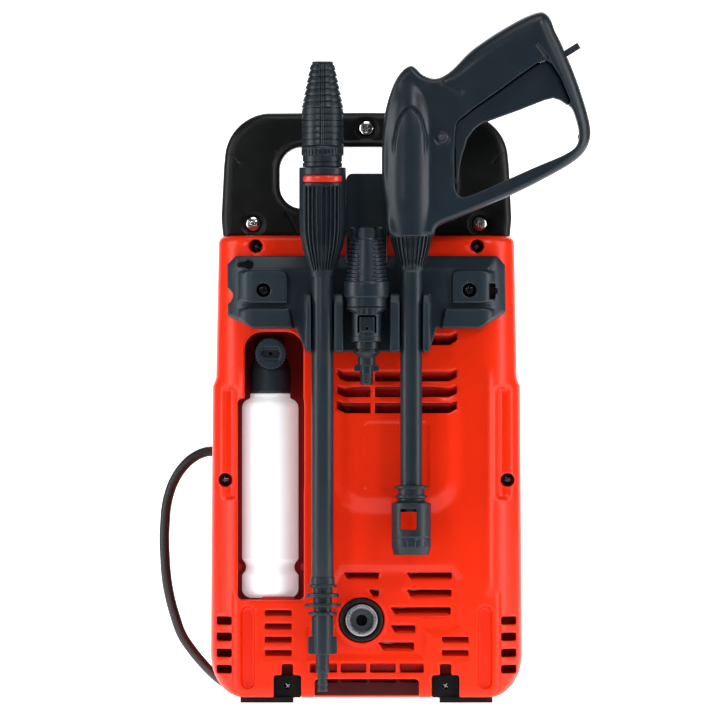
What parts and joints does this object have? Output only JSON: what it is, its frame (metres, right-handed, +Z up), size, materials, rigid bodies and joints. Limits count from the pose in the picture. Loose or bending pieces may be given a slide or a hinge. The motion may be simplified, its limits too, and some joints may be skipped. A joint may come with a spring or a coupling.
{
  "type": "pressure washer",
  "caption": "Upright electric pressure washer with clip-on trigger gun, turbo lance, fan nozzle, foam bottle and mains cord.",
  "frame": {"origin": "middle of the footprint of the machine with its hung accessories, at floor level", "axes": "+Z up, -Y towards the rear face that carries the gun, lance and hoses, +X to the right of someone who looks at that rear face"},
  "size_m": [0.3215, 0.3774, 0.5124],
  "materials": {
    "body_shell": "satin",
    "dark_plastic": "satin",
    "black_plastic": "satin",
    "rubber": "matte",
    "cord_rubber": "satin",
    "steel": "satin",
    "zinc_screw": "gloss",
    "cast_metal": "satin",
    "brass": "satin",
    "copper": "satin",
    "white_plastic": "satin",
    "red_plastic": "satin",
    "carbon": "matte",
    "gear_plastic": "satin"
  },
  "bodies": {
    "machine": {"rear_cover": "body_shell", "front_cover": "body_shell", "front_panel": "dark_plastic", "handle_rear_shell": "black_plastic", "handle_front_shell": "black_plastic", "base_tray": "black_plastic", "rubber_feet": "rubber", "accessory_bracket": "dark_plastic", "cover_screws": "steel", "handle_screws": "zinc_screw", "bracket_screws": "steel", "motor_stator": "steel", "motor_housing": "black_plastic", "motor_bearings": "steel", "carbon_brushes": "carbon", "gearbox_case": "cast_metal", "piston_springs": "steel", "pump_head": "cast_metal", "outlet_fitting": "steel", "outlet_collar": "black_plastic", "inlet_fitting": "brass", "inlet_filter": "white_plastic", "pressure_switch": "black_plastic", "switch_body": "black_plastic", "capacitor": "white_plastic", "strain_relief": "cord_rubber", "cord_run": "cord_rubber", "cord_coil": "cord_rubber", "plug": "cord_rubber"},
    "rotor": {"motor_rotor": "steel", "motor_fan": "gear_plastic", "drive_pinion": "steel"},
    "wobble_drive": {"drive_gear": "gear_plastic", "wobble_plate": "steel"},
    "piston_1": {"piston_1": "steel"},
    "piston_2": {"piston_2": "steel"},
    "piston_3": {"piston_3": "steel"},
    "power_knob": {"switch_knob": "red_plastic"},
    "spray_gun": {"gun_rear_shell": "dark_plastic", "gun_front_shell": "dark_plastic", "trigger_pin": "steel", "trigger_spring": "steel", "gun_valve": "brass", "hose_inlet": "brass", "gun_barrel": "dark_plastic", "gun_socket": "dark_plastic", "gun_screws": "steel"},
    "trigger": {"gun_trigger": "dark_plastic"},
    "hose_release": {"hose_release_tab": "dark_plastic"},
    "lance": {"lance_tube": "dark_plastic", "lance_grip": "dark_plastic", "indicator_ring": "red_plastic", "lance_plug": "dark_plastic"},
    "turbo_head": {"turbo_nozzle": "dark_plastic"},
    "fan_nozzle": {"nozzle_body": "dark_plastic", "nozzle_plug": "dark_plastic"},
    "fan_sleeve": {"nozzle_sleeve": "dark_plastic"},
    "bottle": {"foam_bottle": "white_plastic", "bottle_cap": "dark_plastic"},
    "bottle_spray": {"spray_tip": "dark_plastic"}
  },
  "joints": [
    {"name": "rotor_spin", "type": "hinge", "parent": "machine", "child": "rotor", "pos_m": [-0.0046, 0.03774, 0.18], "axis": [0, 0, 1], "continuous": true},
    {"name": "wobble_spin", "type": "hinge", "parent": "machine", "child": "wobble_drive", "pos_m": [-0.0286, 0.007, 0.11], "axis": [0, 0, 1], "continuous": true},
    {"name": "piston_1_stroke", "type": "slide", "parent": "machine", "child": "piston_1", "axis": [0, 0, -1], "range_m": [0, 0.006], "stiffness_N_per_m": 2000, "springref_m": -0.003, "deforming": ["piston_springs"]},
    {"name": "piston_2_stroke", "type": "slide", "parent": "machine", "child": "piston_2", "axis": [0, 0, -1], "range_m": [0, 0.006], "stiffness_N_per_m": 2000, "springref_m": -0.003, "deforming": ["piston_springs"]},
    {"name": "piston_3_stroke", "type": "slide", "parent": "machine", "child": "piston_3", "axis": [0, 0, -1], "range_m": [0, 0.006], "stiffness_N_per_m": 2000, "springref_m": -0.003, "deforming": ["piston_springs"]},
    {"name": "power_knob_turn", "type": "hinge", "parent": "machine", "child": "power_knob", "pos_m": [-0.025, 0.098, 0.284], "axis": [0, 1, 0], "range_deg": [0, 90]},
    {"name": "gun_unhook", "type": "slide", "parent": "machine", "child": "spray_gun", "axis": [0, -1, 0], "range_m": [0, 0.06]},
    {"name": "trigger_pull", "type": "hinge", "parent": "spray_gun", "child": "trigger", "pos_m": [0.0308, -0.098, 0.4192], "axis": [0, -1, 0], "range_deg": [0, 8], "stiffness_Nm_per_rad": 2, "springref_deg": -8.59, "deforming": ["trigger_spring"]},
    {"name": "hose_release_press", "type": "slide", "parent": "spray_gun", "child": "hose_release", "axis": [-0.848, 0, -0.5299], "range_m": [0, 0.003], "stiffness_N_per_m": 600, "springref_m": -0.002},
    {"name": "lance_unhook", "type": "slide", "parent": "machine", "child": "lance", "axis": [0, -1, 0], "range_m": [0, 0.06]},
    {"name": "turbo_head_turn", "type": "hinge", "parent": "lance", "child": "turbo_head", "pos_m": [-0.0575, -0.098, 0.397], "axis": [0, 0, 1], "range_deg": [0, 90]},
    {"name": "fan_nozzle_unhook", "type": "slide", "parent": "machine", "child": "fan_nozzle", "axis": [0, -1, 0], "range_m": [0, 0.06]},
    {"name": "fan_sleeve_turn", "type": "hinge", "parent": "fan_nozzle", "child": "fan_sleeve", "pos_m": [-0.025, -0.098, 0.31], "axis": [0, 0, 1], "range_deg": [0, 90]},
    {"name": "bottle_pull", "type": "slide", "parent": "machine", "child": "bottle", "axis": [0, -1, 0], "range_m": [0, 0.08]},
    {"name": "bottle_spray_turn", "type": "hinge", "parent": "bottle", "child": "bottle_spray", "pos_m": [-0.096, -0.047, 0.2593], "axis": [0, -1, 0], "range_deg": [0, 90]}
  ],
  "couplings": [
    {"joint": "wobble_spin", "follows": "rotor_spin", "ratio": -0.3}
  ]
}
